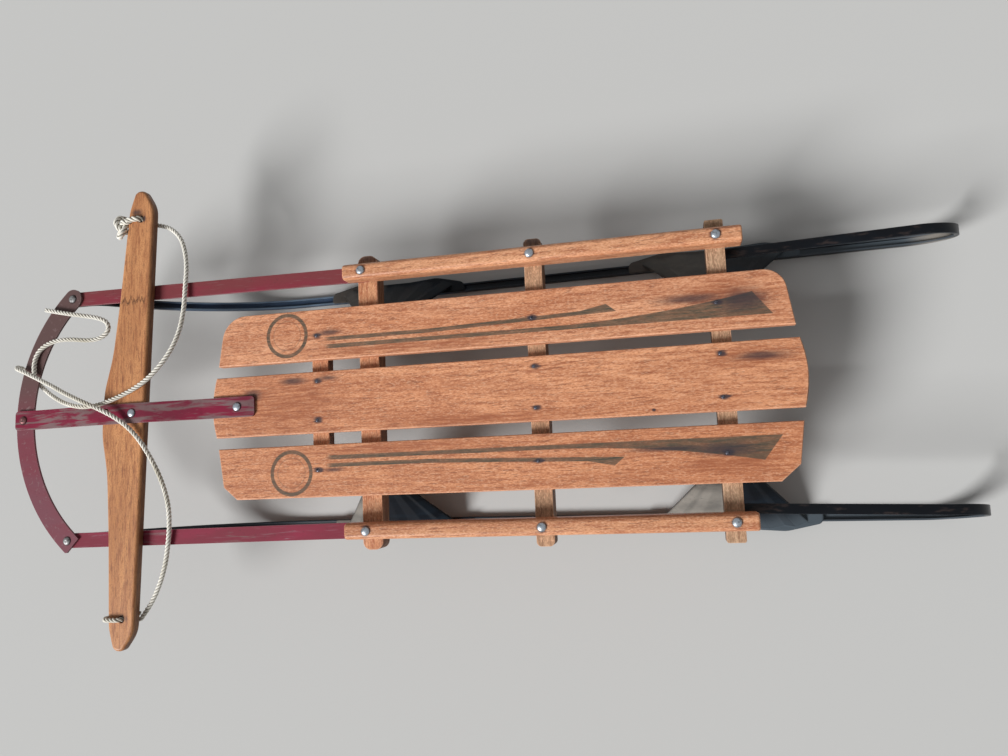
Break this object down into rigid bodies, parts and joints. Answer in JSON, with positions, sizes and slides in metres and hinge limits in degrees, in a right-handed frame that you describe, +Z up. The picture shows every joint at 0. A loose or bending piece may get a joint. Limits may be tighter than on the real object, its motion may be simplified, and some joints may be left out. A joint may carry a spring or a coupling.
{
  "type": "runner sled",
  "caption": "Wooden coasting sled on grooved steel runners, steered by a crossbar that bends the runner fronts, with a tow rope hitched to its bumper.",
  "frame": {"origin": "on the ground under the middle of the sled, halfway between bumper front and runner rear", "axes": "+X towards the front, +Y to the sled's left, +Z up"},
  "size_m": [1.2707, 0.6276, 0.1697],
  "materials": {
    "varnished_wood": "old varnished hardwood, dark stains round the nails",
    "red_steel": "worn dark red paint with grey-brown bare patches",
    "runner_steel": "blue-black enamel with light rust",
    "plated_rivet": "grey domed heads",
    "cotton_rope": "twisted cotton, three strands"
  },
  "bodies": {
    "root": {"deck_board_middle": "varnished_wood", "deck_board_left": "varnished_wood", "deck_board_right": "varnished_wood", "deck_cleat": "varnished_wood", "bunk_front": "varnished_wood", "bunk_middle": "varnished_wood", "bunk_rear": "varnished_wood", "rail_left": "varnished_wood", "rail_right": "varnished_wood", "rail_rivets_left": "plated_rivet", "rail_rivets_right": "plated_rivet", "runner_left": "runner_steel", "runner_right": "runner_steel", "strut_front_left": "runner_steel", "strut_front_right": "runner_steel", "strut_rear_left": "runner_steel", "strut_rear_right": "runner_steel", "deck_bolt": "plated_rivet"},
    "tiller": {"centre_strap": "red_steel", "steering_bar": "varnished_wood", "bar_bolt": "plated_rivet", "bow_bolt": "plated_rivet", "tow_rope": "cotton_rope", "rope_tail": "cotton_rope", "knot_right": "cotton_rope", "knot_left": "cotton_rope"},
    "bumper_bow": {"bumper": "red_steel", "bumper_bolt_left": "plated_rivet", "bumper_bolt_right": "plated_rivet"},
    "side_left": {"side_strap_left": "red_steel", "runner_nose_left": "runner_steel"},
    "side_right": {"side_strap_right": "red_steel", "runner_nose_right": "runner_steel"}
  },
  "joints": [
    {"name": "tiller_swing", "type": "hinge", "parent": "root", "child": "tiller", "pos_m": [0.279, 0, 0.145], "axis": [0, 0, 1], "range_deg": [-4, 4]},
    {"name": "bow_turn", "type": "hinge", "parent": "tiller", "child": "bumper_bow", "pos_m": [0.6185, 0, 0.14], "axis": [0, 0, 1], "range_deg": [-4.2, 4.2]},
    {"name": "side_left_swing", "type": "hinge", "parent": "root", "child": "side_left", "pos_m": [0.097, 0.165, 0.136], "axis": [0, 0, 1], "range_deg": [-3.2, 3.2]},
    {"name": "side_right_swing", "type": "hinge", "parent": "root", "child": "side_right", "pos_m": [0.097, -0.165, 0.136], "axis": [0, 0, 1], "range_deg": [-3.2, 3.2]}
  ],
  "couplings": [
    {"joint": "bow_turn", "follows": "tiller_swing", "ratio": -1},
    {"joint": "side_left_swing", "follows": "tiller_swing", "ratio": 0.7595},
    {"joint": "side_right_swing", "follows": "tiller_swing", "ratio": 0.7595}
  ]
}
